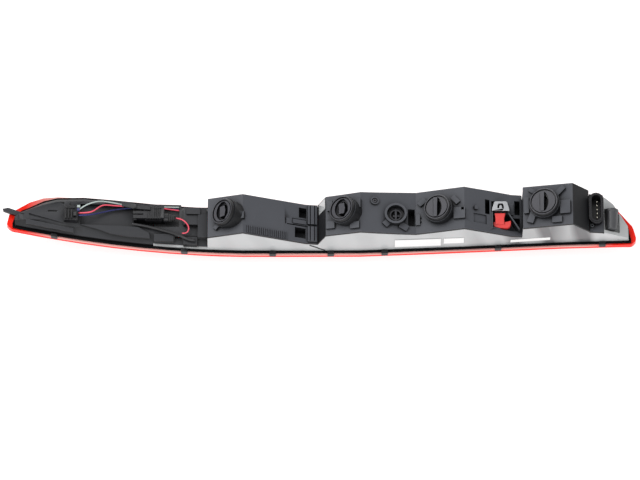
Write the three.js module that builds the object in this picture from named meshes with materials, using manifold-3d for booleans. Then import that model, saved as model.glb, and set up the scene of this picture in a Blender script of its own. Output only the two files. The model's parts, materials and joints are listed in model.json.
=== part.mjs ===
// Rear lamp for a car body, long and one-sided, lying on its lens.
// Millimetres. +X runs along the lamp to the wiring connector, +Z is the side that faces into
// the car body, and -Y is the side of the glossy housing wall.
import * as THREE from 'three';
import Module from 'manifold-3d';
import { mergeVertices } from 'three/addons/utils/BufferGeometryUtils.js';

const wasm = await Module();
wasm.setup();

// ---- driving dimensions ----
const GAP = 0.3; // clearance between neighbouring pieces
const LEFT_TIP = -436; // ends of the lens
const RIGHT_TIP = 440;
const STRAIGHT = 60; // the flange is straight this far each side of the origin
const LENS_DEPTH = 28; // lens face to flange at mid-length
const LENS_WALL = 2.8;
const BOW_LEFT = 22; // how far the flange lifts at each end
const BOW_RIGHT = 12;
const GASKET_HEIGHT = 2.8;
const GASKET_WIDTH = 3.3;
const TRAY_INSET = 1.4; // the gasket and tray lie this much inside the lens edge
const FAR_INSET = 1.4; // the far sides run this much inside farLine
const WALL = 2.5; // moulded wall thickness
const PLATE = 4; // rear plates of the black carriers
const OVERHANG = 0.4; // a rear plate stands this far proud of the tray wall below it
const CAP_THICKNESS = 5;
const NECK_RADIUS = 14.5;
const BULB_RADIUS = 8;
const BULB_LENGTH = 30;
const REFLECTOR_RADIUS = 22;
const REFLECTOR_DEPTH = 24;
const ROUND = 24; // sides on a round piece

// ---- small maths ----
const clamp01 = (t) => Math.min(1, Math.max(0, t));
const smooth = (t) => clamp01(t) ** 2 * (3 - 2 * clamp01(t));
const rad = (degrees) => (degrees * Math.PI) / 180;

function along(points, x) {
  // height of a polyline [[x, value], ...] at x
  let i = 1;
  while (i < points.length - 1 && points[i][0] < x) i += 1;
  const [[xa, va], [xb, vb]] = [points[i - 1], points[i]];
  return va + ((vb - va) * (x - xa)) / (xb - xa);
}

// ---- outline of the lamp, seen from the rear ----
function bow(x) {
  if (x < -STRAIGHT) return BOW_LEFT * ((x + STRAIGHT) / (LEFT_TIP + STRAIGHT)) ** 2;
  if (x > STRAIGHT) return BOW_RIGHT * ((x - STRAIGHT) / (RIGHT_TIP - STRAIGHT)) ** 2;
  return 0;
}
const flange = (x) => LENS_DEPTH + bow(x); // height of the lens flange

// The near side swings in on the left and a little on the right, and its corners are rounded.
const SWING_LENGTH = 380;
const NEAR = { edge: -36.2, left: 30.4, right: 10.4, leftStart: -90, leftLength: 343 };
const CORNER = { length: 8, left: 6, right: 7 };

function nearLine(x) {
  if (x >= NEAR.leftStart) return NEAR.edge + NEAR.right * smooth(x / SWING_LENGTH);
  return NEAR.edge + NEAR.left * ((NEAR.leftStart - x) / NEAR.leftLength) ** 2;
}

function cornerRise(x) {
  const left = clamp01((LEFT_TIP + CORNER.length - x) / CORNER.length);
  const right = clamp01((x - RIGHT_TIP + CORNER.length) / CORNER.length);
  return CORNER.left * left ** 2 + CORNER.right * right ** 2;
}

// The far side is widest behind the wiring end.
const farLine = (x) => 36 + 11 * smooth((-160 - x) / 190) + 5 * smooth(x / SWING_LENGTH);

const LENS_LEFT = [[LEFT_TIP, 1], [-433, 15.5], [-424, 23], [-405, 35.6], [-386, 43], [-366, 45.6]];
const LENS_RIGHT = [[400, 39.6], [413, 30], [425, 14.5], [436, 1], [RIGHT_TIP, -15]];
const TRAY_LEFT = [[-428, 2], [-426, 12.5], [-418, 20.5], [-401, 28.5], [-383, 39], [-360, 44.5]];
const TRAY_RIGHT = [[394, 38.5], [410, 28.5], [421, 14], [430, 1], [433, -19]];

function outline(leftEnd, rightEnd, inset) {
  const [lastLeft] = leftEnd[leftEnd.length - 1];
  const [firstRight] = rightEnd[0];
  return {
    start: leftEnd[0][0],
    end: rightEnd[rightEnd.length - 1][0],
    near: (x) => nearLine(x) + inset + cornerRise(x),
    far: (x) => {
      if (x < lastLeft) return along(leftEnd, x);
      if (x > firstRight) return along(rightEnd, x);
      return farLine(x) - FAR_INSET;
    },
  };
}

function shrink(edge, distance) {
  // the same outline moved inwards, allowing for the slope of its ends
  const far = (x) => {
    const slope = (edge.far(x + 1) - edge.far(x - 1)) / 2;
    return edge.far(x) - distance * Math.min(2.2, Math.hypot(1, slope));
  };
  return {
    start: edge.start + distance,
    end: edge.end - distance,
    near: (x) => edge.near(x) + distance,
    far,
  };
}

const lensEdge = outline(LENS_LEFT, LENS_RIGHT, 0);
const trayEdge = outline(TRAY_LEFT, TRAY_RIGHT, TRAY_INSET);

// ---- rear surface: height of the black plates above the flange ----
const REAR = [
  [-156, 44], [-107, 61], [-20, 26.5], [-3.2, 24], [8, 51.4], [56, 64.3], [133, 53], [200, 65.4],
  [266, 33], [281, 30],
];
const REAR_OUTER = [[281.3, 56.8], [350, 68.2], [373.4, 42.5]];
const REAR_END = [[373.8, 36], [392, 33], [400, 28], [433, 9]];
const LEFT_TOP = 13; // rear surface of the wiring end

function rearHeight(x) {
  if (x > 373.6) return along(REAR_END, x);
  if (x > 281.15) return along(REAR_OUTER, x);
  if (x > -156.5) return along(REAR, x);
  return 3.5;
}
const rearZ = (x) => flange(x) + rearHeight(x);
const bandNear = (x) => -30 + 7 * smooth((x - 60) / 260);
const bandFar = (x) => 28 + 10.5 * smooth((x + 20) / 300);

// Where a long piece gets a slice: close together at the round ends and at each fold of the rear.
const LEFT_CURVE = [LEFT_TIP, -434.5, -433, -430.5, -428, -424, -415, -405];
const RIGHT_CURVE = [392, 400, 408, 416, 422, 428, 433, 435, 437, 438.5, RIGHT_TIP];
const STATIONS = [
  ...LEFT_CURVE, -395, -386, -376, -366, -350, -330, -310, -290, -270, -250, -236, -220, -200,
  -180, -156.5, -156, -132, -107, -80, -50, -20, -3.2, -2.8, 8, 30, 56, 80, 105, 133, 166, 200,
  232, 266, 280.7, 281, 281.4, 300, 325, 350, 373.2, 374, 384, ...RIGHT_CURVE,
];

// The lens and the gasket have no folds, so they need fewer.
const SMOOTH_STATIONS = [
  ...LEFT_CURVE, -386, -366, -330, -290, -250, -210, -170, -140, -107, -50, 8, 56, 105, 150, 200,
  225, 266, 300, 340, 370, ...RIGHT_CURVE,
];

// ---- solids ----
function solidOf(geometry) {
  const bare = geometry.index ? geometry.toNonIndexed() : geometry.clone();
  bare.deleteAttribute('normal');
  bare.deleteAttribute('uv');
  const merged = mergeVertices(bare, 1e-4);
  return new wasm.Manifold(
    new wasm.Mesh({
      numProp: 3,
      vertProperties: new Float32Array(merged.attributes.position.array),
      triVerts: new Uint32Array(merged.index.array),
    }),
  );
}

function geometryOf(solid) {
  const mesh = solid.getMesh();
  const geometry = new THREE.BufferGeometry();
  geometry.setAttribute('position', new THREE.BufferAttribute(mesh.vertProperties, 3));
  geometry.setIndex(new THREE.BufferAttribute(mesh.triVerts, 1));
  return geometry;
}

function place(geometry, [x, y, z], [rx, ry, rz] = [0, 0, 0]) {
  const turn = new THREE.Euler(rad(rx), rad(ry), rad(rz), 'ZYX');
  const matrix = new THREE.Matrix4().makeRotationFromEuler(turn).setPosition(x, y, z);
  return solidOf(geometry.applyMatrix4(matrix));
}

const box = (size, centre, turn) => place(new THREE.BoxGeometry(...size), centre, turn);

function span(low, high) {
  // a box given by its two corners
  const size = high.map((value, i) => value - low[i]);
  return box(size, high.map((value, i) => (value + low[i]) / 2));
}

function lathe(profile, centre, turn, sides = ROUND) {
  const turned = (points) => {
    const geometry = new THREE.LatheGeometry(points, sides);
    geometry.rotateX(Math.PI / 2);
    return place(geometry, centre, turn);
  };
  const points = profile.map(([r, z]) => new THREE.Vector2(r, z));
  const solid = turned(points);
  return solid.volume() > 0 ? solid : turned(points.reverse());
}

const rod = (radius, low, high, centre, turn, sides) =>
  lathe([[0, low], [radius, low], [radius, high], [0, high]], centre, turn, sides);

const ring = (outer, inner, low, high, centre, turn, sides) =>
  lathe(
    [[inner, low], [outer, low], [outer, high], [inner, high], [inner, low]],
    centre, turn, sides,
  );

function upright(points, low, high) {
  // an outline seen from the rear, extruded from low to high
  const shape = new THREE.Shape(points.map(([x, y]) => new THREE.Vector2(x, y)));
  const geometry = new THREE.ExtrudeGeometry(shape, { depth: high - low, bevelEnabled: false });
  return geometry.translate(0, 0, low);
}

const prism = (points, low, high) => solidOf(upright(points, low, high));

function tube(points, radius, sides = 8, steps = points.length * 3) {
  const path = new THREE.CatmullRomCurve3(points.map((p) => new THREE.Vector3(...p)));
  const section = new THREE.Shape();
  for (let i = 0; i < sides; i += 1) {
    const angle = (2 * Math.PI * i) / sides;
    const [x, y] = [radius * Math.cos(angle), radius * Math.sin(angle)];
    if (i === 0) section.moveTo(x, y);
    else section.lineTo(x, y);
  }
  section.closePath();
  return solidOf(new THREE.ExtrudeGeometry(section, { steps, extrudePath: path }));
}

function loft(start, end, section, stations = STATIONS) {
  // section(x) gives the corners [y, z] of a slice, always in the same order
  const stops = [start, ...stations.filter((x) => x > start + 0.2 && x < end - 0.2), end];
  const slices = stops.map((x) => section(x).map(([y, z]) => [x, y, z]));
  const count = slices[0].length;
  const index = [];
  for (let i = 0; i < slices.length - 1; i += 1) {
    for (let j = 0; j < count; j += 1) {
      const [a, b] = [i * count + j, i * count + ((j + 1) % count)];
      index.push(a, b, a + count, b, b + count, a + count);
    }
  }
  const flat = (slice) => slice.map(([, y, z]) => new THREE.Vector2(y, z));
  const last = (slices.length - 1) * count;
  for (const [a, b, c] of THREE.ShapeUtils.triangulateShape(flat(slices[0]), [])) {
    index.push(a, c, b);
  }
  for (const [a, b, c] of THREE.ShapeUtils.triangulateShape(flat(slices[slices.length - 1]), [])) {
    index.push(last + a, last + b, last + c);
  }
  const geometry = new THREE.BufferGeometry();
  geometry.setAttribute('position', new THREE.Float32BufferAttribute(slices.flat(2), 3));
  geometry.setIndex(index);
  const solid = solidOf(geometry);
  if (solid.volume() > 0) return solid;
  const turned = geometry.index.array;
  for (let i = 0; i < turned.length; i += 3) {
    [turned[i], turned[i + 1]] = [turned[i + 1], turned[i]];
  }
  return solidOf(geometry);
}

const slab = (edge, low, high, stations = STATIONS) =>
  loft(edge.start, edge.end, (x) => [
    [edge.near(x), low(x)], [edge.far(x), low(x)], [edge.far(x), high(x)], [edge.near(x), high(x)],
  ], stations);

const joined = (first, ...others) => others.reduce((whole, part) => whole.add(part), first);
const cut = (first, ...others) => others.reduce((whole, part) => whole.subtract(part), first);

// ---- finishes ----
const finish = (color, roughness, metalness = 0) => ({ color, roughness, metalness });
const BLACK = finish(0x26282b, 0.62);
const BLACK_SHINY = finish(0x1b1c1f, 0.35);
const SILVER_GREY = finish(0xb9bbbd, 0.22, 0.35);
const RED_LENS = finish(0xd8210f, 0.12);
const FOAM = finish(0x101112, 0.95);
const CHROME = finish(0xe6e8ea, 0.08, 1);
const GLASS = finish(0xf4f6f7, 0.05);
const RUBBER = finish(0x17181a, 0.8);
const ZINC = finish(0xb4b9bd, 0.38, 0.85);
const RED_PLASTIC = finish(0xd4251f, 0.42);
const BRASS = finish(0xc8a24a, 0.3, 1);
const LABEL = finish(0xf3f3f1, 0.7);
const CIRCUIT = finish(0x1f5a38, 0.5);
const CLEAR_PLASTIC = finish(0xeef0f2, 0.15);

const lamp = new THREE.Group();
lamp.name = 'rear_lamp';

function piece(name, solid, look) {
  const mesh = new THREE.Mesh(geometryOf(solid), new THREE.MeshStandardMaterial(look));
  mesh.name = name;
  lamp.add(mesh);
}

// ---- lens ----
const FACE = { left: -140, right: 225, liftLeft: 14, liftRight: 12 }; // flat part, extra lift

function lensFloor(x) {
  const { left, right, liftLeft, liftRight } = FACE;
  if (x < left) return (BOW_LEFT + liftLeft) * ((x - left) / (LEFT_TIP - left)) ** 2;
  if (x > right) return (BOW_RIGHT + liftRight) * ((x - right) / (RIGHT_TIP - right)) ** 2;
  return 0;
}

function lensSection(edge, thickness, top) {
  return (x) => {
    const [near, far] = [edge.near(x), edge.far(x)];
    const share = Math.min(1, (far - near) / 64);
    const [rim, floor] = [flange(x), lensFloor(x) + thickness];
    const depth = rim - floor;
    const side = [[0, rim - 8], [1.6, rim - 11], [5.5, rim - 0.6 * depth], [13, floor + 2.2]];
    const left = side.map(([inset, z]) => [near + inset * share, Math.max(z, floor + 0.3)]);
    const right = side.map(([inset, z]) => [far - inset * share, Math.max(z, floor + 0.3)]);
    return [
      [near, top(x)], ...left, [near + 21 * share, floor], [far - 21 * share, floor],
      ...right.reverse(), [far, top(x)],
    ];
  };
}

function outerLens() {
  const outside = loft(lensEdge.start, lensEdge.end, lensSection(lensEdge, 0, flange),
    SMOOTH_STATIONS);
  const cavity = shrink(lensEdge, LENS_WALL);
  const inside = loft(
    cavity.start + 8, cavity.end - 6,
    lensSection(cavity, LENS_WALL, (x) => flange(x) - LENS_WALL), SMOOTH_STATIONS,
  );
  const mouth = slab(shrink(trayEdge, 5.2), (x) => flange(x) - 5, (x) => flange(x) + 5,
    SMOOTH_STATIONS);
  return cut(outside, inside, mouth);
}

// ---- gasket and housing tray ----
function gasket() {
  const low = (x) => flange(x) + GAP;
  const high = (x) => flange(x) + GAP + GASKET_HEIGHT;
  const inner = shrink(trayEdge, GASKET_WIDTH);
  return cut(
    slab(trayEdge, low, high, SMOOTH_STATIONS),
    slab(inner, (x) => low(x) - 2, (x) => high(x) + 2, SMOOTH_STATIONS),
  );
}

const TRAY_START = -232;
const trayBase = shrink(trayEdge, GASKET_WIDTH + GAP);
const trayTop = (x) => rearZ(x) - PLATE - GAP;

function housingTray() {
  const foot = (x) => flange(x) + GAP;
  const wall = (inset, low, high) => (x) => [
    [trayBase.near(x) + inset, low(x)],
    [trayBase.far(x) - inset, low(x)],
    [Math.min(bandFar(x), trayBase.far(x)) - inset, high(x)],
    [Math.max(bandNear(x), trayBase.near(x)) + inset, high(x)],
  ];
  const height = (x) => (x < -156.2 ? flange(x) + 6 : trayTop(x));
  const outside = loft(TRAY_START, trayBase.end, wall(0, foot, height));
  const inside = loft(
    TRAY_START + WALL, trayBase.end - WALL,
    wall(WALL, (x) => foot(x) - 3, (x) => height(x) + 3),
  );
  return cut(outside, inside);
}

// ---- twist-lock bulb holders ----
// Each one sits on a boss that leans towards -X by its own angle.
const HOLDERS = [
  { name: '1', seat: [-132.6, -0.6, 91], lean: 41, radius: 19 },
  { name: '2', seat: [31.8, 0.7, 97], lean: 31, radius: 19 },
  { name: '3', seat: [163.1, 3.2, 96.5], lean: 20, radius: 19 },
  { name: '4', seat: [310.5, 8.8, 102], lean: 15, radius: 20.5 },
];
const WELL = { seat: [105, -3, 94], lean: 0 };
const WELL_OUTER = 15.5; // radii
const WELL_INNER = 12.4;

const lean = ({ lean: angle }) => [0, -angle, 0];
const down = ({ seat: [x, y, z], lean: angle }, distance) => [
  x + distance * Math.sin(rad(angle)), y, z - distance * Math.cos(rad(angle)),
];

// The seat is the underside of the cap; the boss ends just below it.
const boss = (holder) => rod(holder.radius + 1.5, -18, -GAP, holder.seat, lean(holder));
const bossBore = (holder) => rod(NECK_RADIUS + 0.6, -60, 2, holder.seat, lean(holder));

function capTurned(holder, parts) {
  return parts.map(([geometry, offset, spin = 0]) => {
    geometry.rotateZ(rad(spin));
    geometry.translate(...offset);
    return place(geometry, holder.seat, lean(holder));
  });
}

function bulbHolder(holder) {
  const [r, t] = [holder.radius, CAP_THICKNESS];
  const disc = lathe(
    [[0, 0], [r, 0], [r, t - 1.2], [r - 1.2, t], [0, t]],
    holder.seat, lean(holder), 28,
  );
  const recess = new THREE.CylinderGeometry(1, 1, 8, 18);
  recess.rotateX(Math.PI / 2);
  recess.scale(7.6, 13, 1);
  const [hollow, grip] = capTurned(holder, [
    [recess, [0, 0, t + 1.2]],
    [new THREE.BoxGeometry(4.2, 21, 3.8), [0.6, 0, t - 1.2]],
  ]);
  const neck = rod(NECK_RADIUS, -13, 0.5, holder.seat, lean(holder), 20);
  const lugs = [0, 120, 240].map((angle) => {
    const [lug] = capTurned(holder, [[
      new THREE.BoxGeometry(3, 6, 3).translate(NECK_RADIUS - 1.2, 0, -11), [0, 0, 0], angle,
    ]]);
    return lug;
  });
  const groove = ring(NECK_RADIUS + 2, NECK_RADIUS - 2, -5.6, -2.2, holder.seat, lean(holder), 20);
  const socket = rod(10.5, -18, -12, holder.seat, lean(holder), 16);
  const pocket = rod(5.3, -20, -9, holder.seat, lean(holder), 12);
  const kept = lugs.map((lug) => lug.intersect(rod(NECK_RADIUS + 0.3, -20, 0, holder.seat,
    lean(holder))));
  return cut(joined(cut(disc, hollow), grip, neck, socket, ...kept), groove, pocket);
}

function wellHolder() {
  const seat = WELL.seat;
  const body = rod(WELL_INNER - 0.5, -25, -8, seat);
  const pocketTop = rod(8.6, -13, 0, seat, [0, 0, 0], 20);
  const collar = ring(8.4, 6.6, -14, -6.5, seat, [0, 0, 0], 20);
  const grip = box([2.6, 19, 8], [seat[0], seat[1], seat[2] - 10.5]);
  const bar = box([9, 2.4, 6], [seat[0] + 1, seat[1] - 1, seat[2] - 11]);
  const socket = rod(5.3, -30, -15, seat, [0, 0, 0], 16);
  return cut(joined(cut(body, pocketTop), collar, grip, bar), socket);
}

const holderSeal = (holder) =>
  ring(NECK_RADIUS + 0.35, NECK_RADIUS - 2 + GAP, -5.3, -2.5, holder.seat, lean(holder), 20);

const bulb = (holder, start = -9.3) =>
  lathe(
    [
      [0, start], [5, start], [5, start - 12], [BULB_RADIUS, start - 20],
      [BULB_RADIUS - 0.6, start - 26], [4.6, start - BULB_LENGTH], [0, start - BULB_LENGTH - 1.4],
    ],
    holder.seat, lean(holder), 16,
  );

function reflector(holder, reach) {
  const [x, y, z] = down(holder, reach);
  const outer = [[13, 0], [16.5, -4], [20, -11], [REFLECTOR_RADIUS, -REFLECTOR_DEPTH]];
  const inner = outer.map(([r, h]) => [r - 1.4, h - 0.2]).reverse();
  return lathe([...outer, ...inner, outer[0]], [x, y, z], [0, 0, 0], 24);
}

// ---- features on a rear plate ----
function facet(x, y) {
  // centre and turn of a frame whose Z is square to the plate at x
  const slope = (rearZ(x + 1) - rearZ(x - 1)) / 2;
  return { centre: [x, y, rearZ(x)], turn: [0, -Math.atan(slope) * (180 / Math.PI), 0] };
}

function lug(x, y, length, width, height, spin = 0) {
  const { centre, turn } = facet(x, y);
  const block = new THREE.BoxGeometry(length, width, height + 2);
  block.rotateZ(rad(spin));
  block.translate(0, 0, height / 2 - 1);
  return place(block, centre, turn);
}

function pit(x, y, length, width, depth) {
  const { centre, turn } = facet(x, y);
  const block = new THREE.BoxGeometry(length, width, depth + 4);
  block.translate(0, 0, 2 - depth / 2);
  return place(block, centre, turn);
}

function plate(start, end) {
  return loft(start, end, (x) => {
    const [near, far] = [bandNear(x) - OVERHANG, bandFar(x) + OVERHANG];
    const [low, high] = [rearZ(x) - PLATE, rearZ(x)];
    return [[near, low], [far, low], [far, high], [near, high]];
  });
}

const underPlate = (start, end) =>
  loft(start, end, (x) => [
    [bandNear(x) + 0.6, 20], [bandFar(x) - 0.6, 20],
    [bandFar(x) - 0.6, rearZ(x) - 1], [bandNear(x) + 0.6, rearZ(x) - 1],
  ]);

// A blind pocket: a tub under the plate and the hole that opens it.
function pocket(x0, x1, y0, y1, floor) {
  const outside = span([x0 - WALL, y0 - WALL, floor - WALL], [x1 + WALL, y1 + WALL, 140]);
  return {
    shell: outside.intersect(underPlate(x0 - WALL - 0.5, x1 + WALL + 0.5)),
    hole: span([x0, y0, floor], [x1, y1, 140]),
  };
}

function moulding(body, holders, pockets) {
  // adds bosses and pocket walls to a plate, then opens the bores and the pockets
  const shells = pockets.map(({ shell }) => shell);
  const holes = pockets.map(({ hole }) => hole);
  return cut(joined(body, ...holders.map(boss), ...shells), ...holders.map(bossBore), ...holes);
}

// ---- inner carrier: bulb 1, cooling fins, strap end ----
const FIN_COUNT = 22;

function innerCarrier() {
  const body = joined(
    plate(-156, -3.2),
    span([-155.8, -25.2, 43.2], [-153.3, 24.6, rearZ(-155) - 2]),
    lug(-110.5, -5, 13, 10, 4),
    lug(-143, -18, 7, 6, 4, 45),
    lug(-29, 0, 20, 6, 1.8),
    lug(-11, 12, 13, 29, 3.4),
    lug(-11, -17.5, 13, 23, 3.4),
  );
  const fins = [];
  for (let i = 0; i < FIN_COUNT; i += 1) fins.push(lug(-101 + i * 2.6, -24, 1.3, 11, 1.1));
  const grooves = [
    pit(-29, -5.2, 36, 1.6, 2.2), pit(-47.5, -1, 1.6, 9, 2.2), pit(-29, 4.2, 22, 1.2, 1.4),
    pit(-14, 0, 1.4, 56, 1), pit(-8, 0, 1.4, 56, 1),
  ];
  const pockets = [pocket(-29.5, -19, 7, 22.5, 40), pocket(-35, -20, -24, -8.5, 40)];
  return cut(moulding(joined(body, ...fins), [HOLDERS[0]], pockets), ...grooves);
}

// ---- middle carrier: bulbs 2 and 3, the open well, the lock bay ----
const SCREW = { x: 75.6, y: 17.2 };
const BAY = { x: [238, 267.2], y: [-15.9, 23.5], floor: 48, shelf: 66 };
const LOCK_HEIGHT = 8;
const WINDOW = { x: [270.2, 277.8], y: [8, 29.6], floor: 40 };

function middleCarrier() {
  const wellWall = rod(WELL_OUTER, -32, 0, WELL.seat);
  const wellBore = rod(WELL_INNER, -40, 1, WELL.seat);
  const { centre, turn } = facet(SCREW.x, SCREW.y);
  const [west, east] = BAY.x;
  const [south, north] = BAY.y;
  const body = joined(
    plate(-2.8, 280.7),
    wellWall,
    rod(5.8, -3, 3, centre, turn, 20),
    lug(14.5, 12.5, 7, 15, 4), lug(53.5, 11.5, 8, 13, 5), lug(15, -16.5, 12, 11, 3.5),
    lug(48.7, -20.5, 13, 10, 3.5),
    lug(142, 17, 12, 7, 3.5, 40), lug(188, 17, 13, 7, 3.5, -50), lug(193.5, -3.5, 16, 17, 3.5),
    lug(116, -20, 12, 9, 3, -30), lug(136, -9, 6, 16, 2.5), lug(215, 7, 5, 5, 4),
    lug(92, -16, 9, 9, 3, 45),
  );
  const pockets = [
    pocket(122, 131.5, -18, 8, 62), pocket(229, 235.4, 2, 24.2, 52),
    pocket(west, east, south, north, BAY.floor), pocket(...WINDOW.x, ...WINDOW.y, WINDOW.floor),
    pocket(250, WINDOW.x[1], -17, 3, BAY.floor),
  ];
  const opened = cut(
    moulding(body, [HOLDERS[1], HOLDERS[2]], pockets),
    wellBore, rod(4, 0.2, 6, centre, turn, 20), rod(2.3, -10, 6, centre, turn, 12),
    pit(198, 2.5, 4, 4, 5), pit(222, -7, 20, 14, 1.6),
    pit(140, -6, 2, 3, 3), pit(140, -12, 2, 3, 3),
  );
  const shelf = span([west - 1, 7.2, BAY.floor - 1], [east + 1, north + 1, BAY.shelf]);
  const rail = span([247, south - 1, BAY.floor - 1], [256, 8, BAY.shelf]);
  const ribs = [
    prism([[238.2, 7], [240, 7], [239.8, -18], [238, -18]], BAY.floor - 1, 77),
    prism([[260.2, 8], [262, 8], [277.6, -18], [275.4, -18]], BAY.floor + 9, 73),
  ];
  const lip = span([280.2, -17.8, 58.4], [281.5, 32.2, 61.6]);
  return joined(opened, shelf, rail, lip, ...ribs);
}

function rearScrew() {
  const { centre, turn } = facet(SCREW.x, SCREW.y);
  const head = lathe([[0, 0.5], [3.6, 0.5], [3.6, 1.8], [2.6, 2.8], [0, 2.8]], centre, turn, 20);
  const drive = rod(1.5, 1.2, 4, centre, turn, 6);
  return cut(joined(head, rod(1.9, -8, 1, centre, turn, 12)), drive);
}

// The red lock slides along +Y under the folded metal hood.
function lockSlide() {
  const outlinePoints = [
    [244, 6.4], [244, -6.6], [241.3, -7.6], [240.8, -13], [245.7, -13.2], [247, -15.4], [262.6, -15.4],
    [264.6, -12.6], [265.2, -8.4], [259, -5.6], [257.5, 6.4],
  ];
  const low = BAY.shelf + GAP;
  const body = prism(outlinePoints, low, low + LOCK_HEIGHT);
  const step = prism([[240, -9], [268, -9], [268, -20], [240, -20]], low + 5, low + 12);
  const notch = span([248.5, -4, low + 4], [253.5, 3, low + 12]);
  return cut(body, step, notch);
}

function hoodBracket() {
  const [low, high, sheet] = [BAY.shelf + GAP, BAY.shelf + 12, 1.3];
  const outside = prism([[238.8, 8.2], [263, 8.2], [260.5, 22.6], [241.3, 22.6]], low, high);
  const inside = prism(
    [[238.8 + sheet, 0], [263 - sheet, 0], [263 - sheet, 9], [260.5 - sheet, 21.3],
      [241.3 + sheet, 21.3], [238.8 + sheet, 9]],
    low - 2, high - sheet,
  );
  const slot = prism([[246, 12], [256, 12], [254.5, 19], [247.5, 19]], low, high + 2);
  const tongue = span([248.6, 8.4, high - sheet], [253.4, 16.5, high]);
  return joined(cut(outside, inside, slot), tongue);
}

// ---- outer carrier: bulb 4 ----
function outerCarrier() {
  const body = joined(
    plate(281.4, 373.2),
    span([281.8, -17.8, 52], [284.3, 32.2, rearZ(282) - 2]),
    lug(332, 26.5, 19, 7, 4, 45), lug(340, 2.2, 14, 20, 4), lug(328.5, -15.6, 14, 9, 3),
    lug(294, -10, 9, 16, 4, -20), lug(286.8, 9, 6.5, 24, 4), lug(294.5, 31, 9, 6, 3, -35),
  );
  return moulding(body, [HOLDERS[3]], []);
}

// ---- connector end ----
const HEADER = { x: 383.4, y: 10.5, width: 17, length: 43, mouth: 84, floor: 62 };
const PIN_COUNT = 5;
const PIN_PITCH = 6;

function stadium(width, length, low, high, [x, y]) {
  const [r, half] = [width / 2, (length - width) / 2];
  const shape = new THREE.Shape();
  shape.absarc(0, half, r, 0, Math.PI, false);
  shape.absarc(0, -half, r, Math.PI, 2 * Math.PI, false);
  shape.closePath();
  const geometry = new THREE.ExtrudeGeometry(shape, {
    depth: high - low, bevelEnabled: false, curveSegments: 10,
  });
  geometry.translate(x, y, low);
  return solidOf(geometry);
}

const BOOT = { x: 405.2, z: 64, back: 15, front: -15 };
const BOOT_BAY = { x: [395, 416.4], y: [-16.3, 15.6], floor: 52 };
const END_SPLIT = 394; // where the black end cap meets the silver end shell

function endPlate(start, end) {
  return loft(start, end, (x) => {
    const near = trayBase.near(x) - OVERHANG;
    const far = Math.min(bandFar(x), trayBase.far(x)) + OVERHANG;
    const [low, high] = [rearZ(x) - PLATE, rearZ(x)];
    return [[near, low], [far, low], [far, high], [near, high]];
  });
}

function endCap() {
  const opening = stadium(HEADER.width + 2 * GAP, HEADER.length + 2 * GAP, 40, 120, [
    HEADER.x, HEADER.y,
  ]);
  const smallBoss = ring(2.7, 1.2, 66, 76, [377.6, -13.4, 0], [0, 0, 0], 14);
  return joined(cut(endPlate(374, END_SPLIT), opening), smallBoss);
}

// The end shell carries the breather boot in an open trough.
function endShell() {
  const [west, east] = BOOT_BAY.x;
  const { y: [south, north], floor } = BOOT_BAY;
  const bootHole = span([west, south, floor], [east, north, 120]);
  const inTray = loft(END_SPLIT + GAP, east + 1.6, (x) => [
    [trayBase.near(x) + WALL + 0.4, floor - 2], [trayBase.far(x) - WALL - 0.4, floor - 2],
    [trayBase.far(x) - WALL - 0.4, rearZ(x) - 1], [trayBase.near(x) + WALL + 0.4, rearZ(x) - 1],
  ]);
  const trough = cut(inTray, span([west, -60, floor], [east, 60, 120]));
  return joined(cut(endPlate(END_SPLIT + GAP, 428.5), bootHole), trough);
}

function connectorHeader() {
  const { x, y, width, length, mouth, floor } = HEADER;
  const outside = stadium(width, length, floor, mouth, [x, y]);
  const collar = stadium(width + 3.4, length + 3.4, mouth - 4, mouth - 1.2, [x, y]);
  const inside = stadium(width - 4.4, length - 4.4, floor + 5, mouth + 2, [x, y]);
  const slots = [];
  for (let i = 0; i < PIN_COUNT; i += 1) {
    const at = y + (i - (PIN_COUNT - 1) / 2) * PIN_PITCH;
    slots.push(span([x + 0.6, at - 1, floor - 2], [x + 2.4, at + 1, floor + 6]));
  }
  return cut(joined(outside, collar), inside, ...slots);
}

function headerPins() {
  const { x, y, floor, mouth } = HEADER;
  const bar = span([x + 0.2, y - 14, floor - 2.4], [x + 3, y + 14, floor - GAP]);
  const pins = [];
  for (let i = 0; i < PIN_COUNT; i += 1) {
    const at = y + (i - (PIN_COUNT - 1) / 2) * PIN_PITCH;
    pins.push(span([x + 0.95, at - 0.7, floor - 1], [x + 2.05, at + 0.7, mouth - 7]));
  }
  return joined(bar, ...pins);
}

function breatherBoot() {
  const { x, z, back, front } = BOOT;
  const body = lathe(
    [[0, front], [6.2, front], [8, front + 8], [8.8, back - 5], [9.9, back - 4],
      [9.9, back - 1], [0, back - 1]],
    [x, 0, z + 1.5], [-90, 0, 0], 24,
  );
  const flat = span([x - 20, -40, z - 30], [x + 20, 40, z - 7.5]);
  return cut(body, flat);
}

// ---- wiring end ----
function draped(points, low, high) {
  // the same, but its heights follow the curve of the flange
  const geometry = upright(points, low, high);
  const position = geometry.attributes.position;
  for (let i = 0; i < position.count; i += 1) {
    position.setZ(i, position.getZ(i) + flange(position.getX(i)));
  }
  return solidOf(geometry);
}

const rect = (x0, x1, y0, y1) => [[x0, y0], [x1, y0], [x1, y1], [x0, y1]];

function bay(x0, x1, y0, y1, low, high) {
  return loft(x0, x1, (x) => [
    [y0, flange(x) + low], [y1, flange(x) + low], [y1, flange(x) + high], [y0, flange(x) + high],
  ]);
}

const WIRE_BAY = { x: [-334, -196], y: [-1, 31], floor: 6 };
const DECK = 7.6; // floor of the wire bay where it runs over the tray

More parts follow.
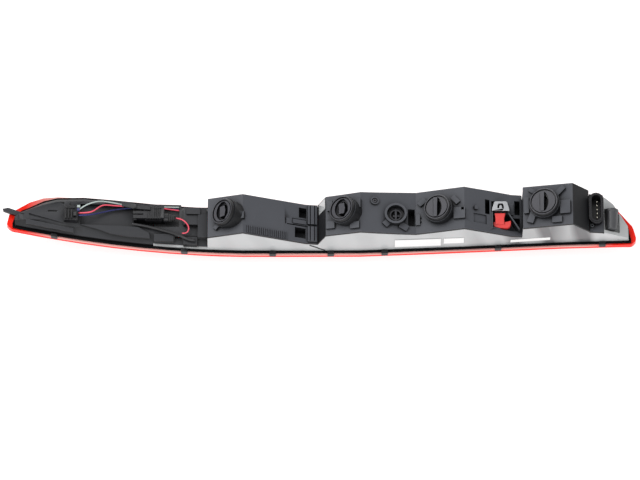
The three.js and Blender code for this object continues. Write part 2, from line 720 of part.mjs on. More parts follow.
function leftCarrier() {
  const edge = shrink(trayEdge, GASKET_WIDTH + GAP);
  const section = (inset, foot, drop) => (x) => {
    const [near, far, z] = [edge.near(x) + inset, edge.far(x) - inset, flange(x)];
    const share = Math.min(1, (far - near) / 46);
    return [
      [near, z + foot], [far, z + foot], [far - share, z + 7.5 - drop],
      [far - 7 * share, z + LEFT_TOP - drop], [near + 15 * share, z + LEFT_TOP - drop],
      [near + share, z + 5.5 - drop],
    ];
  };
  const end = -157;
  const outside = loft(edge.start, end, section(0, GAP, 0), SMOOTH_STATIONS);
  const inside = loft(edge.start + WALL, end - WALL, section(WALL, -2, WALL), SMOOTH_STATIONS);
  const [x0, x1] = WIRE_BAY.x;
  const [y0, y1] = WIRE_BAY.y;
  const overTray = loft(TRAY_START - 1, end + 2, (x) => [
    [-60, flange(x) - 4], [60, flange(x) - 4], [60, flange(x) + 6.4], [-60, flange(x) + 6.4],
  ]);
  const around = [x0 - WALL, x1 + WALL, y0 - WALL, y1 + WALL];
  const trough = bay(...around, WIRE_BAY.floor - WALL, LEFT_TOP - 1);
  const features = [
    draped(rect(-190, -158, 0, 26), LEFT_TOP - 1, 20),
    draped(rect(-186, -167, 15, 25), 19, 23),
    draped(rect(-170, -157.2, -20, 15), LEFT_TOP - 1, 22),
    draped(rect(-231, -204, -24, -13), 6.6, 15.2),
    draped(rect(-190, -171, -28, -17), 6.6, 15.2),
    draped([[-409, -3], [-343, -14], [-343, -8], [-409, 4]], LEFT_TOP - 2, LEFT_TOP + 0.9),
    draped(rect(-356, -349, 26, 33), LEFT_TOP - 1, LEFT_TOP + 3),
    draped([[-300, 33.5], [-262, 32.5], [-262, 35], [-300, 36]], LEFT_TOP - 2, LEFT_TOP + 2),
    bay(TRAY_START - 1, x1 + WALL, y0 - WALL, y1 + WALL, 6.4, DECK),
  ];
  const peg = draped([[-441.7, 20.4], [-441, 17.4], [-416, 9], [-416, 16.5], [-434, 22.4]], 3.5, 8);
  const slots = [
    draped([[-405, 10], [-357, -2.6], [-357, 0.6], [-405, 13.4]], LEFT_TOP - 1.6, 30),
    draped(rect(-379, -366, 16.5, 19.5), LEFT_TOP - 1.6, 30),
    draped(rect(-420, -412, 3, 13), LEFT_TOP - 1.2, 30),
    draped(rect(-202, -192.5, -30, -14), DECK + 0.6, 12),
  ];
  const holes = [
    bay(x0, TRAY_START, y0, y1, WIRE_BAY.floor, 40),
    bay(TRAY_START - 0.5, x1, y0, y1, DECK, 40),
  ];
  const body = joined(cut(outside, inside), peg, trough);
  return cut(joined(cut(body, overTray), ...features), ...holes, ...slots);
}

function wingPanel() {
  const crest = [
    [-336, 2], [-322, 9.5], [-308, 13.2], [-280, 8], [-253, -3], [-237, -12.5], [-236, -21],
    [-266, -19], [-291, -15.5], [-308, -9.5],
  ].map(([x, y]) => [x, Math.min(y, WIRE_BAY.y[0] - 0.8)]);
  return draped(crest, LEFT_TOP + 0.5, LEFT_TOP + 3.5);
}

const INLINE = { x: [-260, -217], y: [6.5, 24.5], height: 17 };
const INLINE_LOW = flange(INLINE.x[0]) + 6.4; // underside of the inline connector

function inlineConnector() {
  const [x0, x1] = INLINE.x;
  const [y0, y1] = INLINE.y;
  const low = INLINE_LOW;
  const high = low + INLINE.height;
  const housing = span([x0, y0, low], [x1, y1, high]);
  const shoulder = span([x0 + 16, y0 - 1.6, low + 1], [x1 - 3, y1 + 1.6, high - 4]);
  const mouth = span([x0 - 1, y0 + 2, low + 2], [x0 + 22, y1 - 2, high - 2]);
  const keys = [y0 + 6, y1 - 6].map((y) =>
    span([x0 - 1, y - 0.9, high - 3], [x0 + 14, y + 0.9, high + 1]));
  const rear = span([x1 - 9, y0 + 4, low + 3], [x1 + 1, y1 - 4, high - 6]);
  const exit = rod(6.4, 0, 6, [x1 - 0.5, 10.5, low + 8], [0, 90, 0], 18);
  const drain = span([x1 - 14, y0 + 3, high - 1.2], [x1 - 4, y1 - 3, high + 1]);
  return cut(joined(cut(joined(housing, shoulder), mouth, ...keys), rear, exit), drain);
}

const LATCH = { x: -240, y: 21 };

function connectorLatch() {
  const z = INLINE_LOW + INLINE.height + 2 * GAP;
  const arm = prism(
    [[LATCH.x - 36, LATCH.y + 8], [LATCH.x - 20, LATCH.y + 7], [LATCH.x, LATCH.y + 2.6],
      [LATCH.x + 4, LATCH.y + 2.6], [LATCH.x + 4, LATCH.y - 3], [LATCH.x - 20, LATCH.y - 1],
      [LATCH.x - 36, LATCH.y + 3]],
    z, z + 2.2,
  );
  const nib = span([LATCH.x - 18, LATCH.y - 1, z + 2], [LATCH.x - 15.5, LATCH.y + 5, z + 4]);
  return joined(arm, nib);
}

const rearSeal = () =>
  lathe(
    [[0, 0], [5.4, 0], [5.4, 2.6], [4.4, 3.4], [5.2, 4.6], [4.2, 6], [5, 7.2], [3.6, 9.6], [0, 9.6]],
    [INLINE.x[1] + 5.9, 10.5, INLINE_LOW + 8], [0, 90, 0], 18,
  );

function ledSocket() {
  const block = draped(rect(-356, -337, 1, 23), LEFT_TOP + GAP, LEFT_TOP + 10);
  const mouth = draped(rect(-352, -335, 6, 18), LEFT_TOP + 4, LEFT_TOP + 8);
  const clip = draped(rect(-353, -341, 18, 21), LEFT_TOP + 9, LEFT_TOP + 12);
  return joined(cut(block, mouth), clip);
}

const LEAD_RADIUS = 1.05;
const CABLE_RADIUS = 2;
const LEAD_COLOURS = { lead_blue: 0x202a66, lead_red: 0xd9394a, lead_white: 0xc9cdd0 };

// Lead routes: each point is [x, y, height above the flange].
const raised = (points) => points.map(([x, y, h]) => [x, y, flange(x) + h]);
const LEADS = {
  lead_blue: [[-336.2, 9.6, 19.5], [-328, 10.4, 20], [-318, 13, 17], [-304, 19, 12],
    [-284, 25.4, 9.4], [-262, 28.4, 9], [-228, 28.6, 9.2], [-196.4, 27.6, 9.6]],
  lead_red: [[-336.2, 13.6, 19.5], [-326, 13.8, 20.4], [-316, 16.4, 20.4], [-307, 24.5, 19],
    [-301, 27.6, 18.5], [-290, 27.6, 17.5], [-262, 27.6, 15], [-228, 27.9, 12.6], [-196.4, 25, 11.4]],
  lead_white: [[-336.2, 17.4, 20.5], [-326, 24, 23.4], [-315, 28.8, 23.5], [-306, 31.4, 22.5],
    [-296, 31.2, 21], [-284, 30.4, 18.8], [-262, 29.8, 12.4], [-228, 29.8, 11.8],
    [-196.4, 29.6, 12.2]],
};
const LOOP = [[-200.9, 10.5, 17.5], [-197, 9.3, 18.6], [-192, 6.2, 21.8], [-187, 2, 22.6],
  [-183, -4.2, 21.8], [-183.4, -10, 20], [-187, -12.6, 18.4], [-192, -12.8, 18.2]];
const CABLE = [[-262, 0.5, 17.2], [-240, -3.2, 17.6], [-212, -10.6, 17.6], [-192, -17.4, 17.4],
  [-184, -22, 18.2], [-173.5, -23.5, 18.3]];

// ---- inside the lamp ----
const ledBoard = () => bay(-398, -236, 2, 22, -6, -4.4);
const GUIDE = [[-392, 8, -11.6], [-350, 6, -12], [-300, 3, -12], [-240, 0, -12], [-176, -2, -12]];
const lightGuide = () => tube(raised(GUIDE), 3, 10, 16);
const contactStrip = () => span([60, 27.2, 46], [262, 27.9, 52]);

// ---- clips, labels ----
const CLIPS = [-370, -189, -66, 15, 90, 248, 393];
const CLIP_DROP = 3.2; // how far a clip's hook reaches down the lens rim

function lensClip(x) {
  const top = GAP + GASKET_HEIGHT + GAP;
  return loft(x - 4.5, x + 4.5, (at) => {
    const [y, z] = [nearLine(at), flange(at)];
    return [
      [y - GAP, z - CLIP_DROP], [y - GAP, z + top], [y + 4, z + top], [y + 4, z + top + 1.2],
      [y - 1.1, z + top + 1.2], [y - 1.5, z - CLIP_DROP],
    ];
  });
}

const LABEL_PAPER = 0.3; // thickness
const LABELS = [
  { x: [104, 168], z: [40, 62], rise: 0 },
  { x: [172, 200], z: [46, 62], rise: 0 },
  { x: [265, 320], z: [42, 50], rise: 5 },
];

function label({ x: [x0, x1], z: [z0, z1], rise }) {
  return loft(x0, x1, (at) => {
    const y = Math.max(bandNear(at), trayBase.near(at));
    const lift = (rise * (at - x0)) / (x1 - x0);
    const slant = (z) => {
      const foot = flange(at) + GAP;
      const share = clamp01((z - foot) / (trayTop(at) - foot));
      return trayBase.near(at) + (y - trayBase.near(at)) * share - GAP;
    };
    const [low, high] = [z0 + lift, z1 + lift];
    const [foot, head] = [slant(low), slant(high)];
    return [[foot, low], [head, high], [head - LABEL_PAPER, high], [foot - LABEL_PAPER, low]];
  });
}

// ---- the lamp ----
piece('outer_lens', outerLens(), RED_LENS);
piece('lens_gasket', gasket(), FOAM);
piece('housing_tray', housingTray(), SILVER_GREY);
piece('wiring_carrier', leftCarrier(), BLACK);
piece('inner_carrier', innerCarrier(), BLACK);
piece('middle_carrier', middleCarrier(), BLACK);
piece('outer_carrier', outerCarrier(), BLACK);
piece('end_cap', endCap(), BLACK);
piece('end_shell', endShell(), SILVER_GREY);

for (const holder of HOLDERS) {
  piece(`bulb_holder_${holder.name}`, bulbHolder(holder), BLACK);
  piece(`holder_seal_${holder.name}`, holderSeal(holder), RUBBER);
  piece(`bulb_${holder.name}`, bulb(holder), GLASS);
  piece(`reflector_${holder.name}`, reflector(holder, 36), CHROME);
}

piece('well_holder', wellHolder(), BLACK);
piece('well_bulb', bulb(WELL, -15.4), GLASS);
piece('well_reflector', reflector(WELL, 36), CHROME);
piece('rear_screw', rearScrew(), ZINC);
piece('hood_bracket', hoodBracket(), ZINC);
piece('lock_slide', lockSlide(), RED_PLASTIC);
piece('connector_header', connectorHeader(), BLACK_SHINY);
piece('header_pins', headerPins(), BRASS);
piece('breather_boot', breatherBoot(), RUBBER);
piece('wing_panel', wingPanel(), BLACK);
piece('led_socket', ledSocket(), BLACK_SHINY);
piece('inline_connector', inlineConnector(), BLACK_SHINY);
piece('connector_latch', connectorLatch(), BLACK_SHINY);
piece('connector_seal', rearSeal(), RUBBER);
for (const [name, points] of Object.entries(LEADS)) {
  piece(name, tube(raised(points), LEAD_RADIUS), finish(LEAD_COLOURS[name], 0.5));
}
piece('lead_loop', tube(raised(LOOP), LEAD_RADIUS), finish(LEAD_COLOURS.lead_red, 0.5));
piece('feed_cable', tube(raised(CABLE), CABLE_RADIUS), finish(0x17181a, 0.55));
piece('led_board', ledBoard(), CIRCUIT);
piece('light_guide', lightGuide(), CLEAR_PLASTIC);
piece('contact_strip', contactStrip(), BRASS);
CLIPS.forEach((x, i) => piece(`lens_clip_${i + 1}`, lensClip(x), BLACK));
LABELS.forEach((item, i) => piece(`label_${i + 1}`, label(item), LABEL));

// The lamp rests on its lens, with the origin under the middle of its box.
const bounds = new THREE.Box3().setFromObject(lamp);
const centre = bounds.getCenter(new THREE.Vector3());
lamp.position.set(-centre.x, -centre.y, -bounds.min.z);

export default lamp;
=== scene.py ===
# %% [markdown]
# # A long one-sided rear lamp, lying on its lens
# This lesson dresses a finished set of solids as a real lamp. The solids give every place, size
# and joint. What they lack is what Blender is good at: rounded edges, moulded grain, gloss,
# wear and smooth wires. We work from the camera and the light to the big mouldings, and then
# to the small pieces that sit on them.

# %% Load the frame
import json
import math

import bmesh
import bpy
from mathutils import Matrix, Vector
from mathutils.bvhtree import BVHTree


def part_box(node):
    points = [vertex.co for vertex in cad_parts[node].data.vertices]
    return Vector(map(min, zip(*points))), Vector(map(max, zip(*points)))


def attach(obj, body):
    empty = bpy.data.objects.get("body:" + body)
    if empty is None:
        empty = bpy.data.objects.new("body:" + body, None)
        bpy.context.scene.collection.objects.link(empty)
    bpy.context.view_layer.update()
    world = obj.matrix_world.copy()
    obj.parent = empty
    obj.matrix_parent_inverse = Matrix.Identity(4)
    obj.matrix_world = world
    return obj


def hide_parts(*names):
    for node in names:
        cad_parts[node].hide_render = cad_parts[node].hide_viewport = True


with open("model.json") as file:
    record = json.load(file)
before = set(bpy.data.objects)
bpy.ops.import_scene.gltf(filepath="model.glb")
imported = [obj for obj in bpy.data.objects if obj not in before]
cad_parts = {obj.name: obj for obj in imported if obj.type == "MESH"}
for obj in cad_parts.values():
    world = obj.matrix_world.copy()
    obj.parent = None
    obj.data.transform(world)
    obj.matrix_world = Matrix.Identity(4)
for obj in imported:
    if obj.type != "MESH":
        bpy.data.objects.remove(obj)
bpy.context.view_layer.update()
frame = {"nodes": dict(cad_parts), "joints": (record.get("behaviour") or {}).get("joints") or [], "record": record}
MM = 0.001
behaviour = frame["record"]["behaviour"]
joints = {joint["name"]: joint for joint in frame["joints"]}
slot_of = {part["node"]: part["material_slot"] for part in frame["record"]["subparts"]}
body_of = {node: body for body, nodes in behaviour["bodies"].items() for node in nodes}

# %% [markdown]
# ## The camera
# A lamp this long looks bent under a short lens, because its ends are farther away than its
# middle. So the camera stands far off and has a long lens. It looks down at 65 degrees: the
# rear plates face it and the grey wall is seen at a slant.

# %% Camera
ELEVATION = math.radians(65)
DISTANCE = 8.0  # metres
VIEW_WIDTH = 0.896  # metres seen from side to side at that distance
SENSOR = 36.0  # millimetres
AIM_FROM_EDGE = 0.0358
AIM_FROM_MIDDLE = 0.00085
near_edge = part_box("outer_lens")[0].y
aim = Vector((AIM_FROM_MIDDLE, near_edge + AIM_FROM_EDGE, 0.0))
camera = bpy.data.objects.new("camera", bpy.data.cameras.new("camera"))
camera.data.sensor_width = SENSOR
camera.data.lens = SENSOR * DISTANCE / VIEW_WIDTH
camera.data.clip_end = 50
camera.location = aim + DISTANCE * Vector((0, -math.cos(ELEVATION), math.sin(ELEVATION)))
camera.rotation_euler = (math.pi / 2 - ELEVATION, 0, 0)
bpy.context.scene.collection.objects.link(camera)
bpy.context.scene.camera = camera
print("lens", round(camera.data.lens), "mm, aimed at", [round(v, 4) for v in aim])

# %% [markdown]
# ## Floor and light
# Black plastic shows its shape only if the light comes more from one side. A lamp behind a big
# white sheet would do it; here the sky itself is brighter towards -X and dimmer towards +X, so
# the slopes that face +X turn darker than the others.
# Two large soft lights, one high behind on the left and one in front, add the gloss.
# The floor is pale and glows a little, like a light table, so the shadows on it stay faint and
# the red of the lens doesn't spread over it.

# %% Floor
FLOOR_GREY = (0.5, 0.5, 0.5, 1)
FLOOR_GLOW = 0.7
HALF_FLOOR = 6.0  # metres
WHITE = (1, 1, 1, 1)


def make_floor():
    mesh = bpy.data.meshes.new("floor")
    far = HALF_FLOOR
    corners = [(-far, -far, 0), (far, -far, 0), (far, far, 0), (-far, far, 0)]
    mesh.from_pydata(corners, [], [(0, 1, 2, 3)])
    floor = bpy.data.objects.new("floor", mesh)
    paint = bpy.data.materials.new("pale_floor")
    paint.use_nodes = True
    shader = paint.node_tree.nodes["Principled BSDF"]
    shader.inputs["Base Color"].default_value = FLOOR_GREY
    shader.inputs["Roughness"].default_value = 0.95
    shader.inputs["Emission Color"].default_value = WHITE
    shader.inputs["Emission Strength"].default_value = FLOOR_GLOW
    mesh.materials.append(paint)
    bpy.context.scene.collection.objects.link(floor)
    return floor


floor = make_floor()
bpy.context.scene.view_settings.view_transform = "Standard"
print("floor", floor.dimensions.x, "m across")

# %% Light
SKY_LEFT, SKY_RIGHT = 1.15, 0.62  # brightness towards -X and towards +X
SKY_TURN = 0.8  # how far round the sky still changes, 1 being straight along X


def make_sky():
    world = bpy.data.worlds.new("studio")
    world.use_nodes = True
    nodes, links = world.node_tree.nodes, world.node_tree.links
    direction = nodes.new("ShaderNodeTexCoord").outputs["Generated"]
    split = nodes.new("ShaderNodeSeparateXYZ")
    links.new(direction, split.inputs["Vector"])
    side = nodes.new("ShaderNodeMapRange")
    side.inputs["From Min"].default_value = -SKY_TURN
    side.inputs["From Max"].default_value = SKY_TURN
    side.inputs["To Min"].default_value = SKY_LEFT
    side.inputs["To Max"].default_value = SKY_RIGHT
    links.new(split.outputs["X"], side.inputs["Value"])
    links.new(side.outputs["Result"], nodes["Background"].inputs["Strength"])
    nodes["Background"].inputs["Color"].default_value = WHITE
    bpy.context.scene.world = world


def make_light(name, place, size, watts):
    """A rectangular light, in metres, that points at the middle of the lamp."""
    light = bpy.data.objects.new(name, bpy.data.lights.new(name, "AREA"))
    light.data.shape = "RECTANGLE"
    light.data.size, light.data.size_y = size
    light.data.energy = watts
    light.location = place
    light.rotation_euler = (-Vector(place)).to_track_quat("-Z", "Y").to_euler()
    bpy.context.scene.collection.objects.link(light)
    return light


make_sky()
make_light("key_light", (-1.3, 0.7, 2.3), (2.4, 1.2), 34)
make_light("front_light", (0.2, -2.3, 1.2), (3.2, 1.0), 22)
print("sky", SKY_LEFT, "to", SKY_RIGHT)

# %% [markdown]
# ## One recipe for moulded plastic
# Every moulding came out of a steel tool that was etched to a fine grain, and it has been
# handled since. So each finish has these layers: a colour that drifts a little, corners that
# are rubbed lighter, a roughness that drifts, and a relief. On top of them comes painted shade:
# the hollows are painted darker, where little light gets in, and so are steep faces, because
# light hardly reaches them between the walls, and the folds of the rear stay easy to read. To
# find the corners we compare the real normal with one that a Bevel node has rounded: they
# differ only near an edge. Noise in the piece's own coordinates makes the drift and the grain,
# so they stay on the piece when it moves. Only the numbers differ from one finish to the next.

# %% Helper: node shortcuts
def math_node(nodes, links, operation, first, second):
    node = nodes.new("ShaderNodeMath")
    node.operation = operation
    for socket, value in zip(node.inputs, (first, second)):
        if isinstance(value, (int, float)):
            socket.default_value = value
        else:
            links.new(value, socket)
    return node.outputs[0]


def noise_node(nodes, links, place, size_mm, detail=4):
    node = nodes.new("ShaderNodeTexNoise")
    node.inputs["Scale"].default_value = 1 / (size_mm * MM)
    node.inputs["Detail"].default_value = detail
    links.new(place, node.inputs["Vector"])
    return node.outputs["Fac"]


def range_node(nodes, links, value, before, after):
    node = nodes.new("ShaderNodeMapRange")
    node.inputs["From Min"].default_value, node.inputs["From Max"].default_value = before
    node.inputs["To Min"].default_value, node.inputs["To Max"].default_value = after
    links.new(value, node.inputs["Value"])
    return node.outputs["Result"]


def mix_node(nodes, links, share, first, second):
    node = nodes.new("ShaderNodeMix")
    node.data_type = "RGBA"
    links.new(share, node.inputs["Factor"])
    for socket, value in ((node.inputs["A"], first), (node.inputs["B"], second)):
        if isinstance(value, tuple):
            socket.default_value = (*value, 1)
        else:
            links.new(value, socket)
    return node.outputs["Result"]


EDGE_REACH = 0.9  # millimetres


def edge_node(nodes, links):
    """1 on a flat face, less near an edge."""
    rounded = nodes.new("ShaderNodeBevel")
    rounded.samples = 4
    rounded.inputs["Radius"].default_value = EDGE_REACH * MM
    compare = nodes.new("ShaderNodeVectorMath")
    compare.operation = "DOT_PRODUCT"
    links.new(rounded.outputs["Normal"], compare.inputs[0])
    links.new(nodes.new("ShaderNodeNewGeometry").outputs["Normal"], compare.inputs[1])
    return compare.outputs["Value"]


# %% A finish with drift, wear, painted shade and grain
CLOUD_SIZE = 60  # millimetres, the patches that the colour and the roughness drift in
CLOUD_BAND = (0.3, 0.7)
SCUFF_SIZE = 5
SCUFF_BAND = (0.4, 0.6)
EDGE_BAND = (0.97, 0.7)  # from a flat face to a worn edge
# painted shade: the bands and shares below darken steep faces and hollows
STEEP_SHADE_BAND = (0.7, 0.88)  # the height of the normal, from a steep face to a flat one
HOLLOW_SHADE_REACH = 12
HOLLOW_SHADE_BAND = (0.35, 0.92)  # how open the place is, from a deep hollow to open air
STEEP_SHADE_SHARE, HOLLOW_SHADE_SHARE = 0.08, 0.12  # how much of the colour is left there
ROUGH_DRIFT = 0.04
RELIEF_DEPTH = 0.3


def darker(colour, share):
    return tuple(c * share for c in colour)


def finish(name, colour, roughness, grain=0.6, relief=0.15, drift=0.08, wear=0.0, metallic=0.0,
           hollow_shade=0.0, steep_shade=0.0, specular=0.5, cells=False):
    """grain is in millimetres; drift and wear say how strong that layer is, and the two shade arguments how much
    painted shade falls in hollows and on steep faces.
    """
    material = bpy.data.materials.new(name)
    material.use_nodes = True
    nodes, links = material.node_tree.nodes, material.node_tree.links
    shader = nodes["Principled BSDF"]
    shader.inputs["Metallic"].default_value = metallic
    shader.inputs["Specular IOR Level"].default_value = specular
    place = nodes.new("ShaderNodeTexCoord").outputs["Object"]
    cloud = noise_node(nodes, links, place, CLOUD_SIZE, 2)
    share = range_node(nodes, links, cloud, CLOUD_BAND, (0, 1))
    low = darker(colour, 1 - drift)
    high = tuple(min(1.0, c * (1 + drift)) for c in colour)
    painted = mix_node(nodes, links, share, low, high)
    if wear:
        scuff = noise_node(nodes, links, place, SCUFF_SIZE, 6)
        rubbed = math_node(
            nodes, links, "MULTIPLY",
            range_node(nodes, links, edge_node(nodes, links), EDGE_BAND, (0, wear)),
            range_node(nodes, links, scuff, SCUFF_BAND, (0.3, 1)),
        )
        pale = tuple(c * 2.4 + 0.05 for c in colour)
        painted = mix_node(nodes, links, rubbed, painted, pale)
    # painted shade: steep faces are painted darker, because light hardly reaches them between the walls
    if steep_shade:
        facing = nodes.new("ShaderNodeSeparateXYZ")
        links.new(nodes.new("ShaderNodeTexCoord").outputs["Normal"], facing.inputs["Vector"])
        share = range_node(nodes, links, facing.outputs["Z"], STEEP_SHADE_BAND, (steep_shade, 0))
        painted = mix_node(nodes, links, share, painted, darker(colour, STEEP_SHADE_SHARE))
    # painted shade: the more closed in a place is, the darker its colour, like shade in a hollow
    if hollow_shade:
        cover = nodes.new("ShaderNodeAmbientOcclusion")
        cover.samples = 8
        cover.inputs["Distance"].default_value = HOLLOW_SHADE_REACH * MM
        shade = range_node(nodes, links, cover.outputs["AO"], HOLLOW_SHADE_BAND, (hollow_shade, 0))
        painted = mix_node(nodes, links, shade, painted, darker(colour, HOLLOW_SHADE_SHARE))
    links.new(painted, shader.inputs["Base Color"])
    rough = (max(0.02, roughness - ROUGH_DRIFT), min(1.0, roughness + ROUGH_DRIFT))
    links.new(range_node(nodes, links, cloud, CLOUD_BAND, rough), shader.inputs["Roughness"])

    if cells:
        fine = nodes.new("ShaderNodeTexVoronoi")
        fine.inputs["Scale"].default_value = 1 / (grain * MM)
        links.new(place, fine.inputs["Vector"])
        height = fine.outputs["Distance"]
    else:
        height = noise_node(nodes, links, place, grain, 3)
    bump = nodes.new("ShaderNodeBump")
    bump.inputs["Strength"].default_value = relief
    bump.inputs["Distance"].default_value = RELIEF_DEPTH * MM
    links.new(height, bump.inputs["Height"])
    links.new(bump.outputs["Normal"], shader.inputs["Normal"])
    return material


def shader_of(material):
    return material.node_tree.nodes["Principled BSDF"]


# %% [markdown]
# ## The finishes of this lamp
# The rear plates are textured and satin, the wiring carrier duller and darker, the holders a
# little finer, the plug and the inline connector smooth. Foam shows its cells, rubber is dull,
# the bracket is plated steel.
# Colours are given as linear values, which is why the black plates are written as 0.066 and not
# as the 0.28 that a colour picker would show. All of them are our choice for such materials.

# %% Black plastics, foam and rubber
finishes = {
    "black_textured": finish("black_textured", (0.066, 0.069, 0.079), 0.5, grain=0.9, relief=0.14,
                             drift=0.04, wear=0.3, hollow_shade=0.97, steep_shade=0.94, specular=0.2),
    "black_dull": finish("black_dull", (0.024, 0.025, 0.029), 0.5, grain=0.9, relief=0.14,
                         drift=0.05, wear=0.8, hollow_shade=0.98, steep_shade=0.8, specular=0.35),
    "holder_black": finish("holder_black", (0.038, 0.038, 0.046), 0.45, grain=0.6, relief=0.1,
                           drift=0.04, wear=0.6, hollow_shade=0.98, steep_shade=0.95, specular=0.35),
    "black_satin": finish("black_satin", (0.01, 0.01, 0.012), 0.3, grain=1.2, relief=0.06,
                          drift=0.2, wear=0.5, hollow_shade=0.97, specular=0.35),
    "foam_gasket": finish("foam_gasket", (0.004, 0.004, 0.0045), 0.98, grain=0.9, relief=0.5,
                          drift=0.35, specular=0.08, cells=True),
    "seal_rubber": finish("seal_rubber", (0.012, 0.012, 0.013), 0.65, grain=0.5, drift=0.2),
    "boot_rubber": finish("boot_rubber", (0.045, 0.046, 0.05), 0.42, grain=0.8, relief=0.1,
                          drift=0.25, wear=0.3, hollow_shade=0.8),
    "cable_black": finish("cable_black", (0.012, 0.012, 0.014), 0.36, grain=0.8, drift=0.25),
}
print(len(finishes), "dark finishes")

# %% Metals, coloured plastics, wires and paper
finishes |= {
    "red_plastic": finish("red_plastic", (0.68, 0.042, 0.038), 0.4, grain=0.7, relief=0.08,
                          drift=0.1, wear=0.25, hollow_shade=0.5),
    "zinc_steel": finish("zinc_steel", (0.46, 0.47, 0.49), 0.36, grain=0.5, relief=0.1,
                         drift=0.12, metallic=0.85, hollow_shade=0.5),
    "dark_zinc": finish("dark_zinc", (0.1, 0.1, 0.11), 0.4, grain=0.5, relief=0.1, drift=0.1,
                        metallic=0.8, hollow_shade=0.9),
    "brass_contact": finish("brass_contact", (0.8, 0.76, 0.66), 0.25, drift=0.08, metallic=1.0),
    "lead_blue": finish("lead_blue", (0.018, 0.022, 0.13), 0.38, relief=0.05, drift=0.2),
    "lead_red": finish("lead_red", (0.72, 0.075, 0.12), 0.4, relief=0.05, drift=0.12),
    "lead_white": finish("lead_white", (0.36, 0.42, 0.4), 0.42, relief=0.05, drift=0.15),
    "circuit_green": finish("circuit_green", (0.02, 0.12, 0.05), 0.4, grain=1.2, drift=0.3),
    "label_paper": finish("label_paper", (0.74, 0.74, 0.735), 0.55, grain=0.5, relief=0.1,
                          drift=0.04),
    "reflector_bright": finish("reflector_bright", (0.9, 0.9, 0.91), 0.07, grain=3, relief=0.02,
                               drift=0.02, metallic=1.0),
    "bulb_glass": finish("bulb_glass", (0.95, 0.96, 0.97), 0.1, grain=3, relief=0.01, drift=0.01),
    "guide_clear": finish("guide_clear", (0.9, 0.92, 0.94), 0.12, grain=3, relief=0.02, drift=0.02),
}
for clear in ("bulb_glass", "guide_clear"):
    shader_of(finishes[clear]).inputs["Transmission Weight"].default_value = 0.9
print(len(finishes), "finishes so far")

# %% [markdown]
# ## Red lens plastic
# The lens is red plastic. Its body is deep red, but round the flange it is thin and light gets
# into it, so it glows pale pink, except at the two ends; that glow is painted light, a pale
# colour painted onto the flange. The flange is bowed, so no single height divides the two
# colours: we mark its points with an attribute called rim when we make the lens, and how far
# along the lamp a point is fades the painted pale colour out. The gloss is kept low, or a white
# room would wash the red out.

# %% Lens finish
PALE_GLOW_END = (0.37, 0.41)  # metres from the middle, where the pale colour starts to fade and ends
RIM_BAND = (0.35, 0.75)
LENS_GLOSS = 0.12


def lens_finish():
    material = finish("red_lens", (0.8, 0.016, 0.006), 0.16, grain=4, relief=0.02, drift=0.05)
    nodes, links = material.node_tree.nodes, material.node_tree.links
    shader = shader_of(material)
    body = shader.inputs["Base Color"].links[0].from_socket
    rim = nodes.new("ShaderNodeAttribute")
    rim.attribute_name = "rim"
    where = nodes.new("ShaderNodeSeparateXYZ")
    links.new(nodes.new("ShaderNodeTexCoord").outputs["Object"], where.inputs["Vector"])
    from_middle = math_node(nodes, links, "ABSOLUTE", where.outputs["X"], 0)
    middle = range_node(nodes, links, from_middle, PALE_GLOW_END, (0.85, 0))
    # painted light: near the rim the red turns pale pink, the glow of light inside the thin flange, fading out
    # towards the ends
    upper = range_node(nodes, links, rim.outputs["Fac"], RIM_BAND, (0, 1))
    pale = math_node(nodes, links, "MULTIPLY", upper, middle)
    painted = mix_node(nodes, links, pale, body, (0.62, 0.38, 0.35))
    links.new(painted, shader.inputs["Base Color"])
    shader.inputs["Specular IOR Level"].default_value = LENS_GLOSS
    return material


finishes["red_lens"] = lens_finish()
print("lens", finishes["red_lens"].name)

# %% [markdown]
# ## Glossy grey wall
# The tray is smooth grey plastic with a bright skin. Its colour carries painted reflections:
# soft dark streaks where a glossy wall mirrors dark things nearby, strongest towards the plug
# end, with one dark patch of painted reflection below the last bulb, and hardly any on the end
# shell. A stretched, distorted wave makes the streaks, and the place along the lamp decides how
# strong they are. They are painted into the colour, so they hold from every side.

# %% Wall finish
REFLECTION_START, REFLECTION_FULL, REFLECTION_END = 0.2, 0.29, 0.376  # metres along X
REFLECTION_PATCH_PLACE, REFLECTION_PATCH_REACH = 0.322, 0.034  # metres along X
REFLECTION_PATCH_DARKNESS = 0.8
STREAK_SCALE = (1, 0.5, 0.35)  # long along Z, short along X
STREAK_LEAN = math.radians(28)


